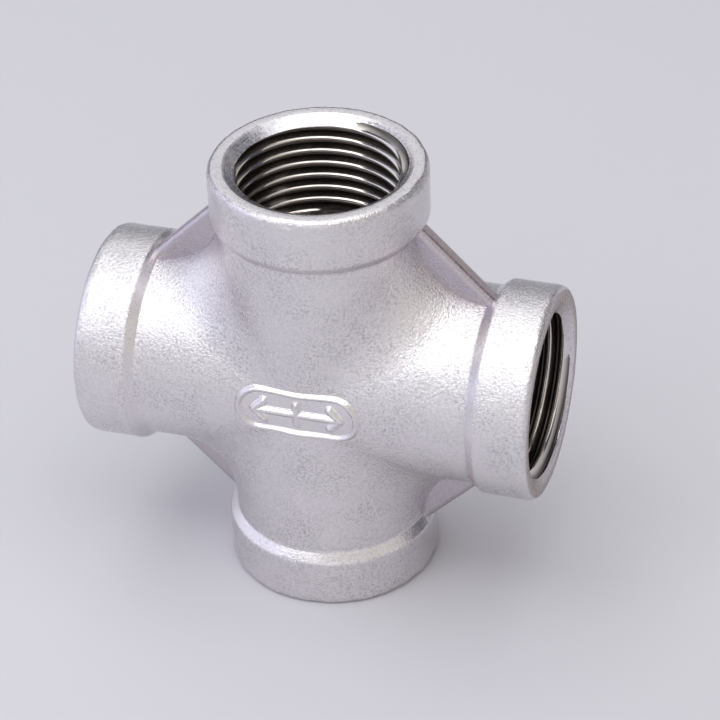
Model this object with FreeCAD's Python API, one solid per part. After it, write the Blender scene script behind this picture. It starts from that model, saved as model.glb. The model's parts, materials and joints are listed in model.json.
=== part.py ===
import FreeCAD
import Part
import math
import os

# Four-way female pipe cross, 3/8 inch size, investment cast in stainless steel.
#
# Frame: millimetres, origin where the axes of the two runs cross, +X along the horizontal
# run, +Z along the vertical run, -Y towards the face with the raised oval.
#
# The fitting is one casting. It is split here along the lines where its features meet:
# the crossing body, four banded ends, four corner webs, four threaded linings, and the
# raised oval with its flow mark. The pieces meet face to face and never overlap. The sockets
# are plain bores at the radius of the thread crests: the helical grooves are not cut here.

# ---- driving dimensions ---------------------------------------------------------------
CENTRE_TO_END = 22.0         # from the crossing point to each machined end face
BAND_RADIUS = 10.17          # reinforcing band round each end
BAND_WIDTH = 5.0             # from the end face to the top of the shoulder
SHOULDER = 0.91              # length along the arm of the slope from band to barrel
BARREL_RADIUS = 9.37         # outside of each arm between the bands
CROTCH_RADIUS = 7.3          # rolling-ball blend between neighbouring arms
END_CORNER_RADIUS = 0.57     # rounding of the band's outer corner

THREAD_CREST_RADIUS = 7.475  # plain bore at the crests of a 3/8 inch thread, 19 to the inch
LINING_RADIUS = 8.6          # outside of the lining, just past where the thread roots reach
LINING_LENGTH = 10.8         # from the end face to the inner end of the lining
COUNTERSINK_RADIUS = 8.8     # where the countersink meets the end face
COUNTERSINK_SLOPE = 0.545    # depth for each millimetre that its radius shrinks
CHAMBER_RADIUS = 7.7         # cored passage behind the lining

WEB_THICKNESS = 1.9
WEB_EDGE_SUM = 26.6          # the web's straight edge lies on |x| + |z| = this
WEB_EDGE_ROUNDING = 0.25

MARK_HEIGHT = 0.4            # how far the oval and the flow mark stand proud of the body
MARK_CENTRE_Z = 0.2          # the oval and the flow mark sit a little above the centre
OVAL_LENGTH = 12.3
OVAL_WIDTH = 5.1
OVAL_LINE = 0.75             # width of the raised oval line at its foot
FLOW_STROKE = 0.95           # width of the strokes of the flow mark at their foot
FLOW_REACH = 4.7             # from the centre to the tip of a side arrow
FLOW_RISE = 1.55             # from the centre to the end of the upright stroke
ARROW_LEG = 2.4              # length of each of an arrow's two slanted strokes
ARROW_SLANT = 45             # degrees between an arrow's strokes and its shaft

# ---- values that follow from them -----------------------------------------------------
SHOULDER_TOP = CENTRE_TO_END - BAND_WIDTH
SHOULDER_FOOT = SHOULDER_TOP - SHOULDER
LINING_INNER_END = CENTRE_TO_END - LINING_LENGTH
PROFILE_STATIONS = 25        # points along each arm profile of the blended skin
SECTOR_STATIONS = 37         # profiles from the front crest over the arm to the back crest

X_AXIS = FreeCAD.Vector(1, 0, 0)
Y_AXIS = FreeCAD.Vector(0, 1, 0)
Z_AXIS = FreeCAD.Vector(0, 0, 1)
ORIGIN = FreeCAD.Vector(0, 0, 0)

# Each arm is the +Z arm turned about Y by this many degrees.
ARMS = {"top": 0, "right": 90, "bottom": 180, "left": 270}
# Each web is the one between the top and right arms, turned about Y.
WEBS = {"top_right": 0, "bottom_right": 90, "bottom_left": 180, "top_left": 270}


def turned(shape, degrees):
    """A copy of the shape turned about the Y axis through the crossing point."""
    copy = shape.copy()
    copy.rotate(ORIGIN, Y_AXIS, degrees)
    return copy


def arm_profile(angle, barrel, crotch):
    """Points along one profile of the +X arm, from its foot plane to the plane x = z.

    angle is measured round the arm from the corner web (0) to the front or back crest
    (90 or -90 degrees). The profile is a straight line along the barrel and then an arc
    of the ball that rolls in the corner between this arm and the +Z arm.
    """
    sine, cosine = math.sin(angle), math.cos(angle)
    ball = FreeCAD.Vector(cosine, sine, cosine) * (barrel + crotch)
    to_arm = FreeCAD.Vector(0, sine, cosine)
    to_neighbour = FreeCAD.Vector(cosine, sine, 0)
    opening = math.acos(min(1.0, sine * sine))
    straight = max(0.0, SHOULDER_FOOT - ball.x)
    first_swing = 0.0
    if ball.x > SHOULDER_FOOT:
        reach = (ball.x - SHOULDER_FOOT) * math.sin(opening) / (crotch * cosine)
        first_swing = math.asin(reach)
    arc = crotch * (opening / 2 - first_swing)
    points = []
    for station in range(PROFILE_STATIONS):
        along = (straight + arc) * station / (PROFILE_STATIONS - 1)
        if opening < 1e-6 or (along <= straight and first_swing == 0.0):
            points.append(FreeCAD.Vector(SHOULDER_FOOT - along, sine * barrel, cosine * barrel))
            continue
        swing = first_swing + (along - straight) / crotch
        normal = to_arm * math.sin(opening - swing) + to_neighbour * math.sin(swing)
        points.append(ball - normal * (crotch / math.sin(opening)))
    return points


def blended_cross(barrel, crotch):
    """Solid of two crossing barrels of this radius with rolling-ball blends between arms."""
    angles = [math.pi * (i / (SECTOR_STATIONS - 1) - 0.5) for i in range(SECTOR_STATIONS)]
    skin = Part.BSplineSurface()
    skin.interpolate([arm_profile(angle, barrel, crotch) for angle in angles])
    upper = skin.toShape()
    lower = upper.mirror(ORIGIN, Z_AXIS)
    ends = [
        edge
        for half in (upper, lower)
        for edge in half.Edges
        if edge.BoundBox.XMin > SHOULDER_FOOT - 1e-6
    ]
    cap = Part.Face(Part.Wire(ends))
    faces = [turned(face, degrees) for degrees in ARMS.values() for face in (upper, lower, cap)]
    shell = Part.makeShell(faces)
    shell.sewShape(1e-4)
    solid = Part.makeSolid(shell)
    if solid.Volume < 0:
        solid.reverse()
    return solid


def turned_profile(points):
    """Solid of revolution about Z from (radius, height) corners, or arcs given as triples."""
    edges = []
    for start, end in zip(points, points[1:] + points[:1]):
        here, there = start[-1], end[0]
        if len(end) == 3:
            arc = [FreeCAD.Vector(r, 0, z) for r, z in end]
            if here != end[0]:
                edges.append(Part.LineSegment(FreeCAD.Vector(here[0], 0, here[1]), arc[0]).toShape())
            edges.append(Part.Arc(*arc).toShape())
        elif here != there:
            first, last = (FreeCAD.Vector(r, 0, z) for r, z in (here, there))
            edges.append(Part.LineSegment(first, last).toShape())
    return Part.Face(Part.Wire(edges)).revolve(ORIGIN, Z_AXIS, 360)


def countersink_depth(radius):
    """How far below the end face the countersink has narrowed to this radius."""
    return (COUNTERSINK_RADIUS - radius) * COUNTERSINK_SLOPE


def banded_end():
    """Band, shoulder and end face of the top arm, outside the threaded lining."""
    corner = CENTRE_TO_END - END_CORNER_RADIUS
    bend = END_CORNER_RADIUS * (1 - math.sqrt(0.5))
    rounded = (
        (BAND_RADIUS, corner),
        (BAND_RADIUS - bend, CENTRE_TO_END - bend),
        (BAND_RADIUS - END_CORNER_RADIUS, CENTRE_TO_END),
    )
    countersink_foot = CENTRE_TO_END - countersink_depth(LINING_RADIUS)
    return turned_profile([
        [(LINING_RADIUS, SHOULDER_FOOT)],
        [(BARREL_RADIUS, SHOULDER_FOOT)],
        [(BAND_RADIUS, SHOULDER_TOP)],
        rounded,
        [(COUNTERSINK_RADIUS, CENTRE_TO_END)],
        [(LINING_RADIUS, countersink_foot)],
    ])


def threaded_lining():
    """Wall of the top arm that carries the female thread, as a plain bore at its crests."""
    return turned_profile([
        [(THREAD_CREST_RADIUS, LINING_INNER_END)],
        [(LINING_RADIUS, LINING_INNER_END)],
        [(LINING_RADIUS, CENTRE_TO_END - countersink_depth(LINING_RADIUS))],
        [(THREAD_CREST_RADIUS, CENTRE_TO_END - countersink_depth(THREAD_CREST_RADIUS))],
    ])


def crossing_body(skin):
    """Blended arms with the cored passages, and seats for the four threaded linings."""
    seat_length = SHOULDER_FOOT - LINING_INNER_END
    seat = Part.makeCylinder(
        LINING_RADIUS, seat_length + 1, FreeCAD.Vector(0, 0, LINING_INNER_END), Z_AXIS
    )
    passage = Part.makeCylinder(
        CHAMBER_RADIUS, 2 * CENTRE_TO_END, FreeCAD.Vector(0, 0, -CENTRE_TO_END), Z_AXIS
    )
    hollow = passage.fuse([turned(passage, 90)] + [turned(seat, d) for d in ARMS.values()])
    return skin.cut(hollow)


def corner_web(skin, ends):
    """Flat web between the top and right arms, from band to band."""
    inner = (LINING_RADIUS + BARREL_RADIUS) / 2
    outer = WEB_EDGE_SUM - inner
    half = WEB_THICKNESS / 2
    corners = [(inner, inner), (outer, inner), (inner, outer)]
    outline = Part.makePolygon(
        [FreeCAD.Vector(x, -half, z) for x, z in corners + corners[:1]]
    )
    plate = Part.Face(outline).extrude(FreeCAD.Vector(0, WEB_THICKNESS, 0))
    long_edges = [
        edge
        for edge in plate.Edges
        if all(abs(v.X + v.Z - WEB_EDGE_SUM) < 1e-6 for v in edge.Vertexes)
        and abs(edge.Vertexes[0].Y - edge.Vertexes[1].Y) < 1e-6
    ]
    plate = plate.makeFillet(WEB_EDGE_ROUNDING, long_edges)
    return plate.cut([skin] + ends)


def slot_face(length, width):
    """Flat oval with straight long sides and round ends, in the plane y = 0."""
    radius = width / 2
    middle = length / 2 - radius
    right = Part.Arc(
        FreeCAD.Vector(middle, 0, -radius),
        FreeCAD.Vector(middle + radius, 0, 0),
        FreeCAD.Vector(middle, 0, radius),
    )
    left = Part.Arc(
        FreeCAD.Vector(-middle, 0, radius),
        FreeCAD.Vector(-middle - radius, 0, 0),
        FreeCAD.Vector(-middle, 0, -radius),
    )
    upper = Part.LineSegment(right.EndPoint, left.StartPoint)
    lower = Part.LineSegment(left.EndPoint, right.StartPoint)
    return Part.Face(Part.Wire([g.toShape() for g in (right, upper, left, lower)]))


def stroke(length, start_x, degrees):
    """Round-ended stroke of the flow mark that leaves (start_x, 0) at this angle to +X."""
    face = slot_face(length, FLOW_STROKE)
    face.translate(FreeCAD.Vector(length / 2 - FLOW_STROKE / 2, 0, 0))
    face.rotate(ORIGIN, Y_AXIS, -degrees)
    face.translate(FreeCAD.Vector(start_x, 0, 0))
    return face


def flow_mark_face():
    """Plain four-way flow mark: an upright crossed by a shaft with an arrow at each end."""
    tip = FLOW_REACH - FLOW_STROKE / 2
    shaft = slot_face(2 * FLOW_REACH, FLOW_STROKE)
    upright = slot_face(2 * FLOW_RISE, FLOW_STROKE)
    upright.rotate(ORIGIN, Y_AXIS, 90)
    legs = [
        stroke(ARROW_LEG, start_x, turn + side * ARROW_SLANT)
        for start_x, turn in ((tip, 180), (-tip, 0))
        for side in (1, -1)
    ]
    return shaft.fuse([upright] + legs).removeSplitter().Faces[0]


def raised_on_front(face, skin, proud_skin):
    """The flat shape as a raised pad of even height on the front of the body."""
    stamp = face.extrude(FreeCAD.Vector(0, -2 * BARREL_RADIUS, 0))
    stamp.translate(FreeCAD.Vector(0, 0, MARK_CENTRE_Z))
    return stamp.common(proud_skin).cut(skin)


def main():
    os.makedirs("parts", exist_ok=True)
    skin = blended_cross(BARREL_RADIUS, CROTCH_RADIUS)
    proud_skin = blended_cross(BARREL_RADIUS + MARK_HEIGHT, CROTCH_RADIUS - MARK_HEIGHT)
    end, lining = banded_end(), threaded_lining()
    ends = [turned(end, ARMS["top"]), turned(end, ARMS["right"])]
    web = corner_web(skin, ends)
    oval = slot_face(OVAL_LENGTH, OVAL_WIDTH).cut(
        slot_face(OVAL_LENGTH - 2 * OVAL_LINE, OVAL_WIDTH - 2 * OVAL_LINE)
    )

    parts = {"crossing_body": crossing_body(skin)}
    for name, degrees in ARMS.items():
        parts[name + "_band"] = turned(end, degrees)
        parts[name + "_thread"] = turned(lining, degrees)
    for name, degrees in WEBS.items():
        parts[name + "_web"] = turned(web, degrees)
    parts["oval_rim"] = raised_on_front(oval, skin, proud_skin)
    parts["flow_mark"] = raised_on_front(flow_mark_face(), skin, proud_skin)

    for name, shape in parts.items():
        if len(shape.Solids) != 1 or not shape.isValid() or shape.Volume <= 0:
            raise ValueError(name + " is not one valid solid")
        shape.exportStep("parts/" + name + ".step")
        print(name, "volume mm3", round(shape.Volume, 2))


main()
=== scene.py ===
import json
import math

import bmesh
import bpy
import numpy as np
from mathutils import Matrix, Vector, noise


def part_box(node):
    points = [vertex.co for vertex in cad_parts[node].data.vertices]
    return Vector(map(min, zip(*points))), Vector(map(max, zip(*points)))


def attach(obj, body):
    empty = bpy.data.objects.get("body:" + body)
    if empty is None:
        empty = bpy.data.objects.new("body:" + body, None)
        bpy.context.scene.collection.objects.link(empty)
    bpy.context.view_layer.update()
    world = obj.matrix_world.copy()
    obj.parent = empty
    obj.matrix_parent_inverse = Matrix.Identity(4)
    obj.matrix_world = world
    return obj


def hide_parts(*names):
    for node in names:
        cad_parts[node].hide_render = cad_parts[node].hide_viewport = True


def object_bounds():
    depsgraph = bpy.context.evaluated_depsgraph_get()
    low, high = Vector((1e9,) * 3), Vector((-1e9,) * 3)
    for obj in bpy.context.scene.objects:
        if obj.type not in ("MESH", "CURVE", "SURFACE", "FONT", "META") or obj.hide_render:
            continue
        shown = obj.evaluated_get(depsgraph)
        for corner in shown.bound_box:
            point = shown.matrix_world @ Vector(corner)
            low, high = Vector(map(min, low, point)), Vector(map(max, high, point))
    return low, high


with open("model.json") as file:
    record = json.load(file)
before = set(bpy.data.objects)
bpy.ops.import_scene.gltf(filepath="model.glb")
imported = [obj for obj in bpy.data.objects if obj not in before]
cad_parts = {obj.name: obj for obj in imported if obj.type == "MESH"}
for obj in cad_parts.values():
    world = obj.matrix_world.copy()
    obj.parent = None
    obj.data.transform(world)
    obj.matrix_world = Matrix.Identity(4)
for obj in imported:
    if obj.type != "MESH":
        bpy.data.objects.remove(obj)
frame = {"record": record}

cad_low, cad_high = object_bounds()


# ---- Camera -----------------------------------------------------------------------------
# A long lens looks down on the fitting from the front right, very slightly tilted, with the
# crossing a little left of the middle of the view.
MM = 0.001
CAMERA_AZIMUTH = math.radians(18.56)
CAMERA_ELEVATION = math.radians(35.81)
CAMERA_ROLL = math.radians(-2.384)
CAMERA_DISTANCE = 287.37 * MM
CAMERA_RIGHT = 3.092 * MM
CAMERA_UP = -0.107 * MM
CAMERA_LENS = 151.2          # millimetres, on a sensor 36 wide
CAMERA_SENSOR = 36

level_right = Vector((math.cos(CAMERA_AZIMUTH), math.sin(CAMERA_AZIMUTH), 0))
back = Vector((
    math.sin(CAMERA_AZIMUTH) * math.cos(CAMERA_ELEVATION),
    -math.cos(CAMERA_AZIMUTH) * math.cos(CAMERA_ELEVATION),
    math.sin(CAMERA_ELEVATION),
))
level_up = back.cross(level_right)
right = level_right * math.cos(CAMERA_ROLL) + level_up * math.sin(CAMERA_ROLL)
up = level_up * math.cos(CAMERA_ROLL) - level_right * math.sin(CAMERA_ROLL)
camera_data = bpy.data.cameras.new("camera")
camera_data.lens = CAMERA_LENS
camera_data.sensor_width = CAMERA_SENSOR
camera_data.clip_start = 0.01
camera = bpy.data.objects.new("camera", camera_data)
bpy.context.collection.objects.link(camera)
camera.matrix_world = Matrix.Translation(
    back * CAMERA_DISTANCE + right * CAMERA_RIGHT + up * CAMERA_UP
) @ Matrix((right, up, back)).transposed().to_4x4()
bpy.context.scene.camera = camera
bpy.context.scene.view_settings.view_transform = "Standard"


# ---- Crossing body ----------------------------------------------------------------------
# Four barrels that meet in one casting of stainless steel, with a rolled corner between each
# pair and a cored passage along both runs. The outside is left as shot blasting leaves it.
_, body_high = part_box("crossing_body")
band_low, band_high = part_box("top_band")
lining_low, lining_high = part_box("top_thread")
CENTRE_TO_END = band_high.z
BAND_RADIUS = band_high.x
SHOULDER_FOOT = band_low.z
BARREL_RADIUS = body_high.y
LINING_RADIUS = lining_high.y
LINING_INNER_END = lining_low.z
CROTCH_RADIUS = 7.3 * MM
CHAMBER_RADIUS = 7.7 * MM
BODY_TUCK = 0.3 * MM         # how far the barrel runs on inside the band
FOOT_FILLET = 0.5 * MM       # cast corner where the barrel meets the shoulder
FOOT_TURN = math.radians(45)  # the angle that this corner turns through
FOOT_FILLET_START = SHOULDER_FOOT - FOOT_FILLET * math.tan(FOOT_TURN / 2)
BODY_ANGLES = 288
BODY_STATIONS = 68
PASSAGE_ROWS = 14
FLUSH_ANGLE = 1e-5           # below this, two barrels lie flush and need no rolled corner
WELD = 0.0004 * MM           # points closer than this are one point
SLIVER = 0.0002 * MM         # edges shorter than this are taken out
CAST_SWELL_SIZE = 2.6 * MM   # broad unevenness of the casting
CAST_SWELL_HEIGHT = 0.04 * MM
PEEL_SIZE = 0.6 * MM         # finer orange peel of the shell mould
PEEL_HEIGHT = 0.012 * MM
PEEL_SHIFT = Vector((7, 3, 1))


def mesh_piece(name, points, faces, crease=40):
    """A smooth-shaded mesh in the object frame, with its own creases kept sharp."""
    mesh = bpy.data.meshes.new(name)
    mesh.from_pydata([tuple(p) for p in points], [], faces)
    shape = bmesh.new()
    shape.from_mesh(mesh)
    bmesh.ops.remove_doubles(shape, verts=shape.verts, dist=WELD)
    bmesh.ops.dissolve_degenerate(shape, edges=shape.edges, dist=SLIVER)
    bmesh.ops.recalc_face_normals(shape, faces=shape.faces)
    shape.to_mesh(mesh)
    shape.free()
    mesh.shade_smooth()
    mesh.set_sharp_from_angle(angle=math.radians(crease))
    piece = bpy.data.objects.new(name, mesh)
    bpy.context.collection.objects.link(piece)
    return piece


def closed_loft(rows):
    """Points and faces of rows that each close on themselves, and close up last to first."""
    count, around = len(rows), len(rows[0])
    faces = []
    for i in range(count):
        j = (i + 1) % count
        for k in range(around):
            n = (k + 1) % around
            faces.append((i * around + k, i * around + n, j * around + n, j * around + k))
    return np.concatenate(rows), faces


def cast_roughness(piece, weight=lambda p: 1.0):
    """Moves the surface in and out as the shell mould and the blasting left it."""
    mesh = piece.data
    normals = [v.normal.copy() for v in mesh.vertices]
    for vertex, normal in zip(mesh.vertices, normals):
        share = weight(vertex.co)
        if share <= 0:
            continue
        swell = noise.noise(vertex.co / CAST_SWELL_SIZE) * CAST_SWELL_HEIGHT
        peel = noise.noise(vertex.co / PEEL_SIZE + PEEL_SHIFT) * PEEL_HEIGHT
        vertex.co += normal * (swell + peel) * share
    mesh.update()


def foot_flare(height):
    """How far the cast corner at the shoulder's foot has swept out at this height."""
    past = min(height - FOOT_FILLET_START, FOOT_FILLET * math.sin(FOOT_TURN))
    return FOOT_FILLET - math.sqrt(FOOT_FILLET ** 2 - past ** 2) if past > 0 else 0.0


def body_outline(angle):
    """One profile of the +X arm, from the seam with its neighbour out to the band."""
    sine, cosine = math.sin(angle), abs(math.cos(angle))
    side = 1 if math.cos(angle) >= 0 else -1
    end = SHOULDER_FOOT + BODY_TUCK
    ball = np.array((cosine, sine, cosine)) * (BARREL_RADIUS + CROTCH_RADIUS)
    opening = math.acos(min(1.0, sine * sine))
    straight = max(0.0, end - ball[0])
    first_swing = 0.0
    if ball[0] > end:
        reach = (ball[0] - end) * math.sin(opening) / (CROTCH_RADIUS * cosine)
        first_swing = math.asin(reach)
    arc = CROTCH_RADIUS * (opening / 2 - first_swing)
    outline = []
    for station in range(BODY_STATIONS):
        along = (straight + arc) * (1 - station / (BODY_STATIONS - 1))
        if opening < FLUSH_ANGLE or (along <= straight and first_swing == 0.0):
            point = np.array((end - along, sine * BARREL_RADIUS, cosine * BARREL_RADIUS))
        else:
            swing = first_swing + (along - straight) / CROTCH_RADIUS
            normal = np.array((0, sine, cosine)) * math.sin(opening - swing)
            normal += np.array((cosine, sine, 0)) * math.sin(swing)
            point = ball - normal * (CROTCH_RADIUS / math.sin(opening))
        point += np.array((0, sine, cosine)) * foot_flare(point[0])
        point[2] *= side
        outline.append(point)
    return outline


def body_inside(angle):
    """The same profile's inner half: round the end, down the seat and along the passage."""
    sine, cosine = math.sin(angle), math.cos(angle)
    seam = CHAMBER_RADIUS * abs(cosine)
    end = SHOULDER_FOOT + BODY_TUCK
    corners = [(end, LINING_RADIUS), (LINING_INNER_END, LINING_RADIUS)]
    for row in range(PASSAGE_ROWS + 1):
        x = LINING_INNER_END + (seam - LINING_INNER_END) * row / PASSAGE_ROWS
        corners.append((x, CHAMBER_RADIUS))
    return [np.array((x, r * sine, r * cosine)) for x, r in corners]


def body_mesh():
    """All four arms, each a ring of profiles, joined where they meet on the diagonals."""
    profiles = []
    for i in range(BODY_ANGLES):
        angle = 2 * math.pi * i / BODY_ANGLES
        profiles.append(body_outline(angle) + body_inside(angle))
    arm = np.array(profiles)
    count, length = arm.shape[:2]
    points, faces = [], []
    for quarter in range(4):
        turn = quarter * math.pi / 2
        c, s = round(math.cos(turn)), round(math.sin(turn))
        x, y, z = arm[..., 0], arm[..., 1], arm[..., 2]
        start = len(points) * count * length
        points.append(np.stack((c * x - s * z, y, s * x + c * z), axis=-1).reshape(-1, 3))
        for i in range(count):
            n = (i + 1) % count
            for j in range(length - 1):
                a, b = start + i * length + j, start + n * length + j
                faces.append((a, b, b + 1, a + 1))
    return np.concatenate(points), faces


body = mesh_piece("cast_crossing", *body_mesh())
cast_roughness(body)
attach(body, "root")
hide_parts("crossing_body")


# Investment-cast stainless steel, shot blasted: a pale satin skin whose small dimples break
# every highlight into grains; their floors carry painted shade. Painted pit shade and sheen vary
# from patch to patch, marks and shoulders are smoother, and the webs carry painted corner shade.
CAST_SILVER = "#EAE6E7"
CAST_SHADE = "#E0DCDF"
# The webs' tones are darker than the body's: painted shade for the corners between the arms.
SHADED_WEB_SILVER = "#CBC4CA"
SHADED_WEB_DULL = "#BDB6BC"
DIMPLE_PAINTED_SHADE = "#8F898E"
DIMPLE_PAINTED_SHADE_SHARE = 0.34     # how far a dimple's floor is painted towards its painted shade
DIMPLE_LEVELS = (0.30, 0.58)  # noise levels of a dimple's floor and of its lip
DIMPLE_SIZE = 0.24 * MM
DIMPLE_DEPTH = 0.085 * MM
GRAIN_LEVELS = (0.36, 0.60)
GRAIN_SIZE = 0.13 * MM
GRAIN_DEPTH = 0.03 * MM
PATCH_LEVELS = (0.35, 0.65)
PATCH_SIZE = 4.0 * MM
PATCH_PIT_SHADE_SHARE = (0.35, 1.5)  # share of the painted pit shade in the calmest and the roughest patches
CAST_ROUGHNESS_RANGE = (0.20, 0.28)
SMOOTH_COARSENESS = 0.35
WEB_COARSENESS = 0.5


def linear(hex_colour):
    """An sRGB hex colour as linear red, green, blue and alpha."""
    channels = [int(hex_colour[i:i + 2], 16) / 255 for i in (1, 3, 5)]
    return [c / 12.92 if c <= 0.04045 else ((c + 0.055) / 1.055) ** 2.4 for c in channels] + [1]


def add(tree, kind, settings=None, links=None):
    """Adds a node, sets or links its inputs by name or number, and gives its outputs."""
    node = tree.nodes.new(kind)
    for name, value in (settings or {}).items():
        setattr(node, name, value)
    named = {socket.name: socket for socket in node.inputs if socket.enabled}
    for key, value in (links or {}).items():
        socket = node.inputs[key] if isinstance(key, int) else named[key]
        if isinstance(value, bpy.types.NodeSocket):
            tree.links.new(value, socket)
        else:
            socket.default_value = value
    return [socket for socket in node.outputs if socket.enabled]


def blasted_cast_stainless(name, coarseness, silver, dull):
    """Coarseness scales the dimples, their painted shade and the relief of the grain, and is 1 on
    the blasted body.
    """
    material = bpy.data.materials.new(name)
    material.use_nodes = True
    tree = material.node_tree
    shader = tree.nodes["Principled BSDF"]
    place = add(tree, "ShaderNodeTexCoord")[3]
    dimples, _ = add(tree, "ShaderNodeTexNoise", links={
        "Vector": place, "Scale": 1 / DIMPLE_SIZE, "Detail": 3.0, "Roughness": 0.62,
    })
    grain, _ = add(tree, "ShaderNodeTexNoise", links={
        "Vector": place, "Scale": 1 / GRAIN_SIZE, "Detail": 1.0,
    })
    patches, _ = add(tree, "ShaderNodeTexNoise", links={
        "Vector": place, "Scale": 1 / PATCH_SIZE, "Detail": 3.0,
    })
    shade, = add(tree, "ShaderNodeMapRange", links={
        "Value": grain, "From Min": GRAIN_LEVELS[0], "From Max": GRAIN_LEVELS[1],
    })
    tone, = add(tree, "ShaderNodeMix", {"data_type": "RGBA"}, {
        "Factor": shade, "A": linear(dull), "B": linear(silver),
    })
    painted_floor_shade, = add(tree, "ShaderNodeMapRange", {"interpolation_type": "SMOOTHSTEP"}, {
        "Value": dimples, "From Min": DIMPLE_LEVELS[0], "From Max": DIMPLE_LEVELS[1],
        "To Min": DIMPLE_PAINTED_SHADE_SHARE * coarseness, "To Max": 0.0,
    })
    patch_shade_share, = add(tree, "ShaderNodeMapRange", links={
        "Value": patches, "From Min": PATCH_LEVELS[0], "From Max": PATCH_LEVELS[1],
        "To Min": PATCH_PIT_SHADE_SHARE[0], "To Max": PATCH_PIT_SHADE_SHARE[1],
    })
    painted_pit_shade, = add(tree, "ShaderNodeMath", {"operation": "MULTIPLY"}, {0: painted_floor_shade, 1: patch_shade_share})
    # Painted shade: the dimples' floors are coloured darker, as if shade lay in the pits.
    colour, = add(tree, "ShaderNodeMix", {"data_type": "RGBA"}, {
        "Factor": painted_pit_shade, "A": tone, "B": linear(DIMPLE_PAINTED_SHADE),
    })
    tree.links.new(colour, shader.inputs["Base Color"])
    gloss, = add(tree, "ShaderNodeMapRange", links={
        "Value": patches, "From Min": PATCH_LEVELS[0], "From Max": PATCH_LEVELS[1],
        "To Min": CAST_ROUGHNESS_RANGE[0], "To Max": CAST_ROUGHNESS_RANGE[1],
    })
    tree.links.new(gloss, shader.inputs["Roughness"])
    shader.inputs["Metallic"].default_value = 1
    dimpled, = add(tree, "ShaderNodeBump", links={
        "Height": dimples, "Strength": coarseness, "Distance": DIMPLE_DEPTH,
    })
    grained, = add(tree, "ShaderNodeBump", links={
        "Height": grain, "Strength": coarseness, "Distance": GRAIN_DEPTH, "Normal": dimpled,
    })
    tree.links.new(grained, shader.inputs["Normal"])
    return material


cast_skin = blasted_cast_stainless("blasted_cast_stainless", 1.0, CAST_SILVER, CAST_SHADE)
smooth_skin = blasted_cast_stainless(
    "smooth_cast_stainless", SMOOTH_COARSENESS, CAST_SILVER, CAST_SHADE)
shaded_web_skin = blasted_cast_stainless("web_cast_stainless_painted_shade", WEB_COARSENESS, SHADED_WEB_SILVER, SHADED_WEB_DULL)
body.data.materials.append(cast_skin)
body.data.materials.append(smooth_skin)
oval_low, oval_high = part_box("oval_rim")
oval_radius = (oval_high.z - oval_low.z) / 2
oval_middle = (oval_high.z + oval_low.z) / 2
for face in body.data.polygons:
    past_straight = max(0.0, abs(face.center.x) - (oval_high.x - oval_radius))
    from_spine = math.hypot(past_straight, face.center.z - oval_middle)
    inside_oval = face.center.y < -CHAMBER_RADIUS and from_spine < oval_radius
    face.material_index = 1 if inside_oval else 0


# ---- Banded ends ------------------------------------------------------------------------
# Each arm ends in a thicker band with a sloped shoulder, cast with the body. Its end is then
# faced and countersunk on a lathe, which leaves a smooth ring with an uneven outer edge.
BAND_ANGLES = 300
END_CORNER_RADIUS = 0.57 * MM
SHOULDER = 0.91 * MM
SHOULDER_EDGE = 0.09 * MM    # cast rounding where the shoulder turns into the band
COUNTERSINK_RADIUS = 8.8 * MM
COUNTERSINK_SLOPE = 0.545
COUNTERSINK_EDGE = 0.05 * MM
FACE_WAVER = 0.16 * MM       # how unevenly the facing cut meets the cast corner
FACE_NICKS = 0.10 * MM
WAVER_LENGTH = 3 * MM
NICK_LENGTH = 0.8 * MM
SHOULDER_ROWS = 7
BAND_ROWS = 24
CORNER_ROWS = 6
ARM_TURNS = {"top": 0, "right": 90, "bottom": 180, "left": 270}


def facing_depth(radius):
    """How far in from the end face the countersink lies at this radius."""
    return (COUNTERSINK_RADIUS - radius) * COUNTERSINK_SLOPE


def band_profile():
    """(radius, height) points round the band, from the seat's foot over the end to the bore."""
    top = CENTRE_TO_END
    shoulder_top = SHOULDER_FOOT + SHOULDER
    foot = BARREL_RADIUS + foot_flare(SHOULDER_FOOT)
    profile = [(LINING_RADIUS, SHOULDER_FOOT), (BARREL_RADIUS - BODY_TUCK, SHOULDER_FOOT)]
    for i in range(SHOULDER_ROWS + 1):
        share = i / SHOULDER_ROWS
        profile.append((
            foot + (BAND_RADIUS - SHOULDER_EDGE - foot) * share,
            SHOULDER_FOOT + (SHOULDER - SHOULDER_EDGE) * share,
        ))
    straight_start = shoulder_top + SHOULDER_EDGE
    straight_end = top - END_CORNER_RADIUS
    for i in range(BAND_ROWS + 1):
        height = straight_start + (straight_end - straight_start) * i / BAND_ROWS
        profile.append((BAND_RADIUS, height))
    for i in range(1, CORNER_ROWS + 1):
        turn = math.pi / 2 * i / CORNER_ROWS
        profile.append((
            BAND_RADIUS - END_CORNER_RADIUS * (1 - math.cos(turn)),
            straight_end + END_CORNER_RADIUS * math.sin(turn),
        ))
    edge_foot = COUNTERSINK_RADIUS - COUNTERSINK_EDGE
    profile.append((COUNTERSINK_RADIUS + COUNTERSINK_EDGE, top))
    profile.append((edge_foot, top - facing_depth(edge_foot)))
    profile.append((LINING_RADIUS, top - facing_depth(LINING_RADIUS)))
    return profile


def revolve(profile, around):
    """One closed row of points for each (radius, height) of a profile."""
    rows = []
    angles = np.linspace(0, 2 * math.pi, around, endpoint=False)
    for radius, height in profile:
        rows.append(np.stack((radius * np.cos(angles), radius * np.sin(angles),
                              np.full(around, height)), axis=-1))
    return rows


def set_on_arm(piece, degrees):
    """Turns a piece made for the top arm onto its own arm, in its mesh."""
    piece.data.transform(Matrix.Rotation(math.radians(degrees), 4, "Y"))


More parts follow.
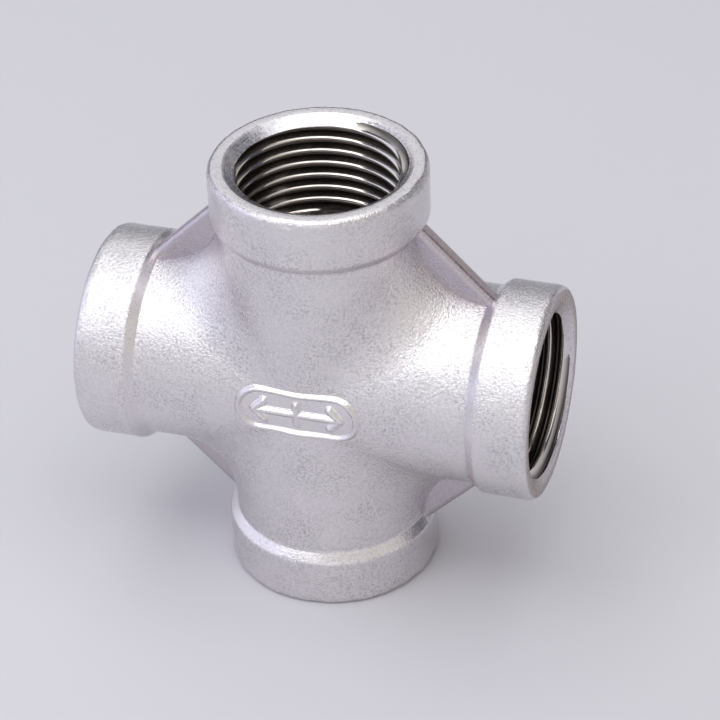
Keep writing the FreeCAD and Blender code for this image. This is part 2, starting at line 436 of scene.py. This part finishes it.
# Stainless steel faced on a lathe: free of the cast skin's dimples, with shallow rings round
# the bore from the tool. Seen nearly edge-on, a face turns darker and slightly warm.
FACED_SILVER = "#E2DFE2"
FACED_SHADE = "#CBC7CC"
GRAZED_TINT = "#BDB4AC"
FACED_ROUGHNESS_RANGE = (0.22, 0.34)
TOOL_RING_PITCH = 0.25 * MM
TOOL_RING_DEPTH = 0.006 * MM
SCUFF_SIZE = 0.45 * MM
SCUFF_TONE_LEVELS = (0.34, 0.52)
SCUFF_SHEEN_LEVELS = (0.3, 0.7)
SCUFF_DEPTH = 0.05 * MM
RUNS = {"vertical": (1, 1, 0), "horizontal": (0, 1, 1)}  # 1 for each direction across the run
ARM_RUNS = {"top": "vertical", "right": "horizontal", "bottom": "vertical", "left": "horizontal"}


def distance_from_axis(tree, place, run):
    """How far each point lies from the axis of its run, in metres."""
    across, = add(tree, "ShaderNodeVectorMath", {"operation": "MULTIPLY"}, {0: place, 1: RUNS[run]})
    length, = add(tree, "ShaderNodeVectorMath", {"operation": "LENGTH"}, {"Vector": across})
    return length


def lathe_faced_stainless(run):
    material = bpy.data.materials.new("lathe_faced_stainless_" + run)
    material.use_nodes = True
    tree = material.node_tree
    shader = tree.nodes["Principled BSDF"]
    place = add(tree, "ShaderNodeTexCoord")[3]
    radius = distance_from_axis(tree, place, run)
    turns, = add(tree, "ShaderNodeMath", {"operation": "MULTIPLY"}, {
        0: radius, 1: 2 * math.pi / TOOL_RING_PITCH,
    })
    rings, = add(tree, "ShaderNodeMath", {"operation": "SINE"}, {0: turns})
    scuffs, _ = add(tree, "ShaderNodeTexNoise", links={
        "Vector": place, "Scale": 1 / SCUFF_SIZE, "Detail": 4.0, "Roughness": 0.7,
    })
    shade, = add(tree, "ShaderNodeMapRange", links={
        "Value": scuffs, "From Min": SCUFF_TONE_LEVELS[0], "From Max": SCUFF_TONE_LEVELS[1],
    })
    tone, = add(tree, "ShaderNodeMix", {"data_type": "RGBA"}, {
        "Factor": shade, "A": linear(FACED_SHADE), "B": linear(FACED_SILVER),
    })
    tree.links.new(tone, shader.inputs["Base Color"])
    gloss, = add(tree, "ShaderNodeMapRange", links={
        "Value": scuffs, "From Min": SCUFF_SHEEN_LEVELS[0], "From Max": SCUFF_SHEEN_LEVELS[1],
        "To Min": FACED_ROUGHNESS_RANGE[0], "To Max": FACED_ROUGHNESS_RANGE[1],
    })
    tree.links.new(gloss, shader.inputs["Roughness"])
    shader.inputs["Metallic"].default_value = 1
    shader.inputs["Specular Tint"].default_value = linear(GRAZED_TINT)
    ringed, = add(tree, "ShaderNodeBump", links={
        "Height": rings, "Strength": 0.4, "Distance": TOOL_RING_DEPTH,
    })
    scuffed, = add(tree, "ShaderNodeBump", links={
        "Height": scuffs, "Strength": 0.6, "Distance": SCUFF_DEPTH, "Normal": ringed,
    })
    tree.links.new(scuffed, shader.inputs["Normal"])
    return material


faced_ends = {run: lathe_faced_stainless(run) for run in RUNS}


def make_band(arm, degrees):
    rows = revolve(band_profile(), BAND_ANGLES)
    band = mesh_piece(arm + "_banded_end", *closed_loft(rows), crease=50)
    corner_start = CENTRE_TO_END - END_CORNER_RADIUS
    shoulder_top = SHOULDER_FOOT + SHOULDER

    def cast_share(point):
        if math.hypot(point.x, point.y) < BARREL_RADIUS:
            return 0.0
        return min(1.0, max(0.0, (CENTRE_TO_END - point.z) / END_CORNER_RADIUS))

    for vertex in band.data.vertices:
        radius = math.hypot(vertex.co.x, vertex.co.y)
        if vertex.co.z > corner_start and radius > COUNTERSINK_RADIUS + FACE_WAVER:
            place = Vector((vertex.co.x, vertex.co.y, degrees * MM))
            waver = FACE_WAVER * abs(noise.noise(place / WAVER_LENGTH))
            nicks = FACE_NICKS * max(0.0, noise.noise(place / NICK_LENGTH))
            vertex.co.x *= 1 - (waver + nicks) / radius
            vertex.co.y *= 1 - (waver + nicks) / radius
    set_on_arm(band, degrees)
    upright = Matrix.Rotation(math.radians(-degrees), 4, "Y")
    cast_roughness(band, lambda point: cast_share(upright @ point))
    band.data.materials.append(cast_skin)
    band.data.materials.append(faced_ends[ARM_RUNS[arm]])
    band.data.materials.append(smooth_skin)
    for face in band.data.polygons:
        centre = upright @ face.center
        radius = math.hypot(centre.x, centre.y)
        faced = centre.z > CENTRE_TO_END - COUNTERSINK_EDGE
        bored = radius < COUNTERSINK_RADIUS and centre.z > shoulder_top
        if faced or bored:
            face.material_index = 1
        elif centre.z < shoulder_top - SHOULDER_EDGE:
            face.material_index = 2
    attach(band, "root")
    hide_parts(arm + "_band")


for arm, degrees in ARM_TURNS.items():
    make_band(arm, degrees)


# ---- Threaded linings -------------------------------------------------------------------
# The wall of each socket with its female pipe thread, cut straight into the casting. The
# form is 55 degrees with rounded crests and roots, and the tool leaves the flanks bright.
THREAD_PITCH = 25.4 / 19 * MM
THREAD_CREST_RADIUS = frame["record"]["mounts"][0]["dims"]["r_mm"] * MM
THREAD_ROOT_RADIUS = 8.331 * MM
THREAD_FLANK_ANGLE = math.radians(27.5)
THREAD_LENGTH = 10.0 * MM
THREAD_START_ANGLE = math.radians(65)
THREAD_START_DEPTH = 0.24 * MM
THREAD_ANGLES = 300
THREAD_ROW = 0.05 * MM


def mouth_radius(inward):
    """Radius of the countersink this far in from the end face."""
    return COUNTERSINK_RADIUS - inward / COUNTERSINK_SLOPE


def thread_radius(angle, height):
    """Radius of the threaded wall at an angle and height in the top socket."""
    inward = CENTRE_TO_END - height
    middle = (THREAD_ROOT_RADIUS + THREAD_CREST_RADIUS) / 2
    depth = (THREAD_ROOT_RADIUS - THREAD_CREST_RADIUS) / 2
    sharp = THREAD_PITCH / 4 / math.tan(THREAD_FLANK_ANGLE)
    turns = (THREAD_START_DEPTH - inward) / THREAD_PITCH
    turns = turns - (angle - THREAD_START_ANGLE) / (2 * math.pi)
    from_groove = abs((turns + 0.5) % 1 - 0.5)
    flank = sharp * (1 - 4 * from_groove)
    straight = 2 * depth - sharp
    past = np.maximum(0, abs(flank) - straight)
    rounded = middle + np.sign(flank) * (abs(flank) - past ** 2 / (2 * (sharp - straight)))
    if inward > THREAD_LENGTH:
        rounded = np.full_like(angle, THREAD_CREST_RADIUS)
    return np.maximum(rounded, mouth_radius(inward))


def thread_rows():
    """Closed rows up the threaded wall, then one round the outer foot of the lining."""
    angles = np.linspace(0, 2 * math.pi, THREAD_ANGLES, endpoint=False)
    top = CENTRE_TO_END - facing_depth(LINING_RADIUS)
    count = round((top - LINING_INNER_END) / THREAD_ROW)
    rows = []
    for i in range(count + 1):
        height = LINING_INNER_END + (top - LINING_INNER_END) * i / count
        radius = np.minimum(thread_radius(angles, height), LINING_RADIUS)
        rows.append(np.stack((radius * np.cos(angles), radius * np.sin(angles),
                              np.full(THREAD_ANGLES, height)), axis=-1))
    outer = revolve([(LINING_RADIUS, LINING_INNER_END)], THREAD_ANGLES)
    return rows + outer


# Stainless steel as a tap leaves it: near mirror-bright on the crests and flanks, so it takes
# on hard lights and darks, and duller in the roots, which are coloured dark as painted shade.
CREST_SILVER = "#D8D2CC"
ROOT_PAINTED_SHADE = "#5F5955"
THREAD_ROUGHNESS_RANGE = (0.09, 0.28)  # at the crests and in the roots
TOOL_STREAK_SIZE = 0.12 * MM
TOOL_STREAK_DEPTH = 0.01 * MM


def cut_thread_stainless(run):
    material = bpy.data.materials.new("cut_thread_stainless_" + run)
    material.use_nodes = True
    tree = material.node_tree
    shader = tree.nodes["Principled BSDF"]
    place = add(tree, "ShaderNodeTexCoord")[3]
    radius = distance_from_axis(tree, place, run)
    # Towards the roots the colour darkens as painted shade, and the roughness rises.
    root_shade_and_dullness, = add(tree, "ShaderNodeMapRange", {"interpolation_type": "SMOOTHSTEP"}, {
        "Value": radius, "From Min": THREAD_CREST_RADIUS, "From Max": THREAD_ROOT_RADIUS,
    })
    tone, = add(tree, "ShaderNodeMix", {"data_type": "RGBA"}, {
        "Factor": root_shade_and_dullness, "A": linear(CREST_SILVER), "B": linear(ROOT_PAINTED_SHADE),
    })
    tree.links.new(tone, shader.inputs["Base Color"])
    gloss, = add(tree, "ShaderNodeMapRange", links={
        "Value": root_shade_and_dullness, "To Min": THREAD_ROUGHNESS_RANGE[0], "To Max": THREAD_ROUGHNESS_RANGE[1],
    })
    tree.links.new(gloss, shader.inputs["Roughness"])
    shader.inputs["Metallic"].default_value = 1
    streaks, _ = add(tree, "ShaderNodeTexNoise", links={
        "Vector": place, "Scale": 1 / TOOL_STREAK_SIZE, "Detail": 2.0,
    })
    streaked, = add(tree, "ShaderNodeBump", links={
        "Height": streaks, "Strength": 0.25, "Distance": TOOL_STREAK_DEPTH,
    })
    tree.links.new(streaked, shader.inputs["Normal"])
    return material


cut_threads = {run: cut_thread_stainless(run) for run in RUNS}
for arm, degrees in ARM_TURNS.items():
    lining = mesh_piece(arm + "_cut_thread", *closed_loft(thread_rows()), crease=30)
    set_on_arm(lining, degrees)
    lining.data.materials.append(cut_threads[ARM_RUNS[arm]])
    lining.data.materials.append(faced_ends[ARM_RUNS[arm]])
    upright = Matrix.Rotation(math.radians(-degrees), 4, "Y")
    for face in lining.data.polygons:
        centre = upright @ face.center
        from_cone = math.hypot(centre.x, centre.y) - mouth_radius(CENTRE_TO_END - centre.z)
        face.material_index = 1 if abs(from_cone) < COUNTERSINK_EDGE else 0
    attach(lining, "root")
    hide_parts(arm + "_thread")


# ---- Corner webs ------------------------------------------------------------------------
# A flat plate of the same casting fills each corner between two arms, from band to band.
# Its sides are flat and its long free edge is rounded.
WEB_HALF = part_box("top_right_web")[1].y
WEB_EDGE_SUM = 26.6 * MM
WEB_ROUNDING = 0.6 * MM
WEB_REACH = 5.3 * MM         # from the middle of the free edge to where it is inside the band
WEB_ROOT_DEPTH = 0.4 * MM    # how far the plate runs into the body
WEB_STATIONS = 60
WEB_RISE_ROWS = 26
WEB_ROUNDING_ROWS = 4
WEB_EDGE_ROWS = 6
WEB_UNEVENNESS = 0.4         # against 1 on the body


def web_section(along):
    """One closed section of the web across its thickness: (outward distance, y) points."""
    centre = (BARREL_RADIUS + CROTCH_RADIUS) * math.sqrt(2)
    foot = centre - math.sqrt((CROTCH_RADIUS + WEB_ROOT_DEPTH) ** 2 - along ** 2)
    edge = WEB_EDGE_SUM / math.sqrt(2)
    side = [(foot + (edge - WEB_ROUNDING - foot) * i / WEB_RISE_ROWS, WEB_HALF)
            for i in range(WEB_RISE_ROWS + 1)]
    for i in range(1, WEB_ROUNDING_ROWS + 1):
        turn = math.pi / 2 * i / WEB_ROUNDING_ROWS
        side.append((edge - WEB_ROUNDING * (1 - math.sin(turn)),
                     WEB_HALF - WEB_ROUNDING * (1 - math.cos(turn))))
    top = [(edge, (WEB_HALF - WEB_ROUNDING) * (1 - 2 * i / WEB_EDGE_ROWS))
           for i in range(1, WEB_EDGE_ROWS)]
    return side + top + [(s, -y) for s, y in reversed(side)]


def web_mesh():
    """The top right web: its sections in order along the free edge, closed at both ends."""
    rows = []
    for i in range(WEB_STATIONS + 1):
        along = WEB_REACH * (2 * i / WEB_STATIONS - 1)
        rows.append([((s + along) / math.sqrt(2), y, (s - along) / math.sqrt(2))
                     for s, y in web_section(along)])
    around = len(rows[0])
    faces = []
    for i in range(WEB_STATIONS):
        for k in range(around):
            n = (k + 1) % around
            a, b = i * around, (i + 1) * around
            faces.append((a + k, a + n, b + n, b + k))
    faces.append(tuple(range(around)))
    faces.append(tuple(reversed(range(WEB_STATIONS * around, (WEB_STATIONS + 1) * around))))
    return np.array(rows).reshape(-1, 3), faces


WEB_TURNS = {"top_right": 0, "bottom_right": 90, "bottom_left": 180, "top_left": 270}
for corner, degrees in WEB_TURNS.items():
    web = mesh_piece(corner + "_corner_web", *web_mesh(), crease=50)
    set_on_arm(web, degrees)
    cast_roughness(web, lambda point: WEB_UNEVENNESS)
    # Painted shade: the webs' skin is coloured darker than the body's.
    web.data.materials.append(shaded_web_skin)
    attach(web, "root")
    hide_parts(corner + "_web")


# ---- Raised oval and flow mark ----------------------------------------------------------
# Cast in with the body on its front: a low rounded ridge round an oval, and inside it a plain
# mark of the same ridges, an upright crossed by a shaft with an arrow at each end.
RIM_WIDTH = 0.75 * MM        # each ridge's width at its foot
STROKE_WIDTH = 0.95 * MM
RIDGE_HEIGHT = 0.34 * MM
RIDGE_ROUNDING = 0.85        # under 1 makes the crest fuller than a plain wave
ARROW_LEG = 2.4 * MM
RIDGE_GRID = 0.06 * MM
RIDGE_SINK = 0.12 * MM       # how far the underside lies inside the body
flow_low, flow_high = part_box("flow_mark")
flow_tip = flow_high.x - STROKE_WIDTH / 2
flow_rise = (flow_high.z - flow_low.z) / 2 - STROKE_WIDTH / 2
leg_reach = (ARROW_LEG - STROKE_WIDTH) * math.sqrt(0.5)
FLOW_STROKES = [((-flow_tip, 0), (flow_tip, 0)), ((0, -flow_rise), (0, flow_rise))]
for side in (-1, 1):
    for rise in (-1, 1):
        leg_end = (side * (flow_tip - leg_reach), rise * leg_reach)
        FLOW_STROKES.append(((side * flow_tip, 0), leg_end))


def from_segment(x, z, start, end):
    """Distance of (x, z) from the straight line between two points."""
    along_x, along_z = end[0] - start[0], end[1] - start[1]
    share = ((x - start[0]) * along_x + (z - start[1]) * along_z) / (along_x ** 2 + along_z ** 2)
    share = min(1.0, max(0.0, share))
    return math.hypot(x - start[0] - share * along_x, z - start[1] - share * along_z)


def from_rim(x, z):
    """Distance from the middle line of the oval ridge."""
    spine = oval_high.x - oval_radius
    return abs(from_segment(x, z, (-spine, 0), (spine, 0)) - oval_radius + RIM_WIDTH / 2)


def from_flow_mark(x, z):
    """Distance from the nearest stroke's middle line."""
    return min(from_segment(x, z, start, end) for start, end in FLOW_STROKES)


def ridge_mesh(distance, width):
    """A closed ridge that stands on the body wherever distance is under half its width."""
    half_x = round((oval_high.x + width / 2) / RIDGE_GRID)
    half_z = round((oval_radius + width / 2) / RIDGE_GRID)
    front, under = {}, {}
    points = []
    for i in range(-half_x, half_x + 1):
        for k in range(-half_z, half_z + 1):
            x, z = i * RIDGE_GRID, k * RIDGE_GRID
            from_middle = distance(x, z) / (width / 2)
            if from_middle > 1 + RIDGE_GRID / width:
                continue
            start = Vector((x, cad_low.y - RIDGE_GRID, z + oval_middle))
            _, place, _, _ = body.ray_cast(start, Vector((0, 1, 0)))
            rise = math.cos(math.pi / 2 * min(1.0, from_middle)) ** 2
            lift = RIDGE_HEIGHT * rise ** RIDGE_ROUNDING
            front[i, k] = len(points)
            points.append((place.x, place.y - lift, place.z))
            under[i, k] = len(points)
            points.append((place.x, place.y + RIDGE_SINK, place.z))
    cells = [(i, k) for i, k in front if {(i + 1, k), (i, k + 1), (i + 1, k + 1)} <= front.keys()]
    faces, edges = [], {}
    for i, k in cells:
        corners = [(i, k), (i + 1, k), (i + 1, k + 1), (i, k + 1)]
        faces.append(tuple(front[c] for c in corners))
        faces.append(tuple(under[c] for c in reversed(corners)))
        for start, end in zip(corners, corners[1:] + corners[:1]):
            if not edges.pop((end, start), None):
                edges[start, end] = True
    for start, end in edges:
        faces.append((front[start], under[start], under[end], front[end]))
    return points, faces


RIDGES = {"oval_rim": (from_rim, RIM_WIDTH), "flow_mark": (from_flow_mark, STROKE_WIDTH)}
for name, (distance, width) in RIDGES.items():
    ridge = mesh_piece("cast_" + name, *ridge_mesh(distance, width), crease=75)
    ridge.data.materials.append(smooth_skin)
    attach(ridge, "root")
    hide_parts(name)


# ---- Floor and lights -------------------------------------------------------------------
# A plain pale table top inside a bright tent of soft boxes on the left, on the right, behind
# and low in front. The overhead box and a key high at the front left are the brightest. Low
# behind on the right there is only a small weak box, which gives the metal its dark side.
FLOOR_COLOUR = "#CECDD2"
FLOOR_HALF = 1.5
FLOOR_ROUGHNESS = 0.8
BOX_DISTANCE = 0.55
SKY_COLOUR = "#C6CBE6"
SKY_STRENGTH = 0.16
floor_mesh = bpy.data.meshes.new("floor")
floor_mesh.from_pydata(
    [(x * FLOOR_HALF, y * FLOOR_HALF, cad_low.z) for x, y in ((-1, -1), (1, -1), (1, 1), (-1, 1))],
    [], [(0, 1, 2, 3)],
)
floor = bpy.data.objects.new("floor", floor_mesh)
bpy.context.collection.objects.link(floor)
table = bpy.data.materials.new("pale_matt_table")
table.use_nodes = True
table.node_tree.nodes["Principled BSDF"].inputs["Base Color"].default_value = linear(FLOOR_COLOUR)
table.node_tree.nodes["Principled BSDF"].inputs["Roughness"].default_value = FLOOR_ROUGHNESS
floor_mesh.materials.append(table)


def soft_box(name, azimuth, elevation, size, radiance, colour):
    """A square soft box that faces the fitting, azimuth turning from -Y towards +X."""
    a, e = math.radians(azimuth), math.radians(elevation)
    towards = Vector((math.sin(a) * math.cos(e), -math.cos(a) * math.cos(e), math.sin(e)))
    place = towards * BOX_DISTANCE
    data = bpy.data.lights.new(name, "AREA")
    data.shape = "SQUARE"
    data.size = size
    data.energy = radiance * math.pi * size * size
    data.color = linear(colour)[:3]
    light = bpy.data.objects.new(name, data)
    light.location = place
    light.rotation_euler = (-place).to_track_quat("-Z", "Y").to_euler()
    bpy.context.collection.objects.link(light)


soft_box("key_box", -22, 53, 0.42, 1.50, "#FFFFFF")
soft_box("left_box", -76, 12, 0.86, 1.06, "#EEF0FF")
soft_box("right_box", 60, 30, 0.86, 0.62, "#FFF9F0")
soft_box("top_box", 0, 86, 0.54, 1.70, "#FFFFFF")
soft_box("front_box", 0, 4, 0.50, 0.90, "#FFFFFF")
soft_box("back_box", -156, 45, 0.54, 0.84, "#FFFFFF")
soft_box("far_box", 148, 16, 0.32, 0.50, "#FFF4EA")
world = bpy.data.worlds.new("studio")
bpy.context.scene.world = world
world.use_nodes = True
world.node_tree.nodes["Background"].inputs["Color"].default_value = linear(SKY_COLOUR)
world.node_tree.nodes["Background"].inputs["Strength"].default_value = SKY_STRENGTH
